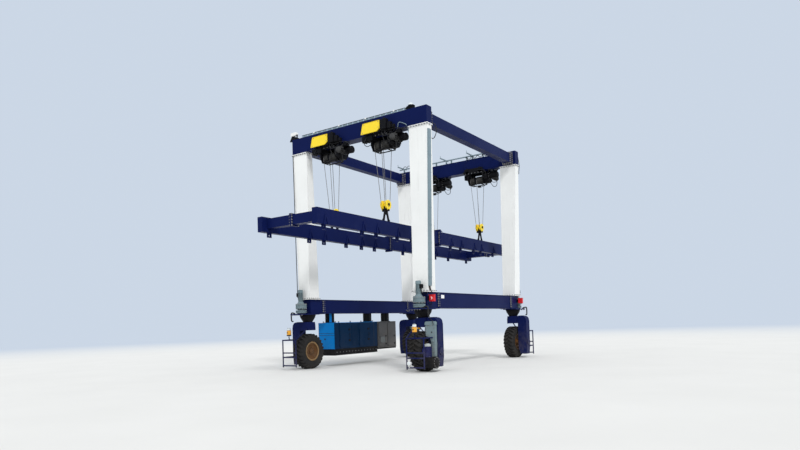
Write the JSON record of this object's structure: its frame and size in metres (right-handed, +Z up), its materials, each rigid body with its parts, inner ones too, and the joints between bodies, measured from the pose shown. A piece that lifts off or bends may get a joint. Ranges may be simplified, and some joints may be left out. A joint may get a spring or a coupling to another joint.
{
  "type": "mobile gantry straddle carrier",
  "caption": "Rubber-tyred portal machine: tapered box legs on steered bogies, hoists under two girders and a long lifting spreader between them.",
  "frame": {"origin": "on the ground, at the middle of the whole machine's bounding box", "axes": "+X across the portal to the right, +Y along the direction of travel to the rear, +Z up"},
  "size_m": [6.799, 14.5, 9.34],
  "materials": {
    "white_paint": "gloss paint, light dirt",
    "navy_paint": "gloss paint",
    "yellow_paint": "gloss paint",
    "rim_paint": "worn paint over primer",
    "black_paint": "satin paint",
    "gear_grey": "satin paint",
    "duct_grey": "galvanised sheet",
    "cable_black": "cable sheath",
    "red_plastic": "moulded",
    "pack_blue": "powder coat",
    "cabinet_grey": "powder coat",
    "engine_iron": "painted casting",
    "rope_steel": "greased wire rope",
    "tyre": "rubber"
  },
  "bodies": {
    "frame": {"leg_left_front": "white_paint", "leg_right_front": "white_paint", "leg_right_rear": "white_paint", "leg_left_rear": "white_paint", "girder_front": "navy_paint", "girder_rear": "navy_paint", "tie_beam_left": "navy_paint", "tie_beam_right": "navy_paint", "bottom_beam_left": "navy_paint", "bottom_beam_right": "navy_paint", "steering_drives": "gear_grey", "stop_boxes": "red_plastic", "cable_ducts": "duct_grey", "festoon_cable": "cable_black", "work_lamps": "white_paint", "pack_skid": "black_paint", "pack_engine": "engine_iron", "pack_canopy": "pack_blue", "cabinet": "cabinet_grey"},
    "bogie_left_front": {"fork_left_front": "navy_paint", "guard_left_front": "navy_paint"},
    "wheel_left_front": {"tyre_left_front": "tyre", "rim_left_front": "rim_paint"},
    "bogie_right_front": {"fork_right_front": "navy_paint", "guard_right_front": "navy_paint", "wheel_drive_right_front": "gear_grey"},
    "wheel_right_front": {"tyre_right_front": "tyre", "rim_right_front": "rim_paint"},
    "bogie_right_rear": {"fork_right_rear": "navy_paint", "guard_right_rear": "navy_paint"},
    "wheel_right_rear": {"tyre_right_rear": "tyre", "rim_right_rear": "rim_paint"},
    "bogie_left_rear": {"fork_left_rear": "navy_paint", "guard_left_rear": "navy_paint", "wheel_drive_left_rear": "gear_grey"},
    "wheel_left_rear": {"tyre_left_rear": "tyre", "rim_left_rear": "rim_paint"},
    "hoists": {"hoist_left_front": "black_paint", "hoist_right_front": "black_paint", "hoist_right_rear": "black_paint", "hoist_left_rear": "black_paint", "hoist_covers": "yellow_paint"},
    "spreader": {"ropes": "rope_steel", "hook_blocks": "yellow_paint", "hook_links": "black_paint", "spreader_beam_left": "navy_paint", "spreader_beam_right": "navy_paint", "spreader_cross_beams": "navy_paint"},
    "pack_door_front": {"pack_door_front": "pack_blue"},
    "cabinet_door_front": {"cabinet_door_front": "cabinet_grey"},
    "pack_door_rear": {"pack_door_rear": "pack_blue"},
    "cabinet_door_rear": {"cabinet_door_rear": "cabinet_grey"}
  },
  "joints": [
    {"name": "steer_left_front", "type": "hinge", "parent": "frame", "child": "bogie_left_front", "pos_m": [-2.65, -3.55, 0.675], "axis": [0, 0, 1], "range_deg": [-90, 90]},
    {"name": "roll_left_front", "type": "hinge", "parent": "bogie_left_front", "child": "wheel_left_front", "pos_m": [-2.65, -3.55, 0.675], "axis": [1, 0, 0], "continuous": true},
    {"name": "steer_right_front", "type": "hinge", "parent": "frame", "child": "bogie_right_front", "pos_m": [2.65, -3.55, 0.675], "axis": [0, 0, 1], "range_deg": [-90, 90]},
    {"name": "roll_right_front", "type": "hinge", "parent": "bogie_right_front", "child": "wheel_right_front", "pos_m": [2.65, -3.55, 0.675], "axis": [1, 0, 0], "continuous": true},
    {"name": "steer_right_rear", "type": "hinge", "parent": "frame", "child": "bogie_right_rear", "pos_m": [2.65, 3.83, 0.675], "axis": [0, 0, 1], "range_deg": [-90, 90]},
    {"name": "roll_right_rear", "type": "hinge", "parent": "bogie_right_rear", "child": "wheel_right_rear", "pos_m": [2.65, 3.83, 0.675], "axis": [1, 0, 0], "continuous": true},
    {"name": "steer_left_rear", "type": "hinge", "parent": "frame", "child": "bogie_left_rear", "pos_m": [-2.65, 3.83, 0.675], "axis": [0, 0, 1], "range_deg": [-90, 90]},
    {"name": "roll_left_rear", "type": "hinge", "parent": "bogie_left_rear", "child": "wheel_left_rear", "pos_m": [-2.65, 3.83, 0.675], "axis": [1, 0, 0], "continuous": true},
    {"name": "hoists_traverse", "type": "slide", "parent": "frame", "child": "hoists", "axis": [1, 0, 0], "range_m": [-0.15, 0.15]},
    {"name": "spreader_lift", "type": "slide", "parent": "hoists", "child": "spreader", "axis": [0, 0, 1], "range_m": [-3.3, 1.4], "deforming": ["ropes"]},
    {"name": "pack_door_front_hinge", "type": "hinge", "parent": "frame", "child": "pack_door_front", "pos_m": [-2.2455, -2.14, 1.22], "axis": [0, 0, -1], "range_deg": [0, 110]},
    {"name": "cabinet_door_front_hinge", "type": "hinge", "parent": "frame", "child": "cabinet_door_front", "pos_m": [-2.2455, 0.51, 1.175], "axis": [0, 0, -1], "range_deg": [0, 110]},
    {"name": "pack_door_rear_hinge", "type": "hinge", "parent": "frame", "child": "pack_door_rear", "pos_m": [-2.2455, -0.86, 1.22], "axis": [0, 0, -1], "range_deg": [0, 110]},
    {"name": "cabinet_door_rear_hinge", "type": "hinge", "parent": "frame", "child": "cabinet_door_rear", "pos_m": [-2.2455, 1.17, 1.175], "axis": [0, 0, -1], "range_deg": [0, 110]}
  ]
}
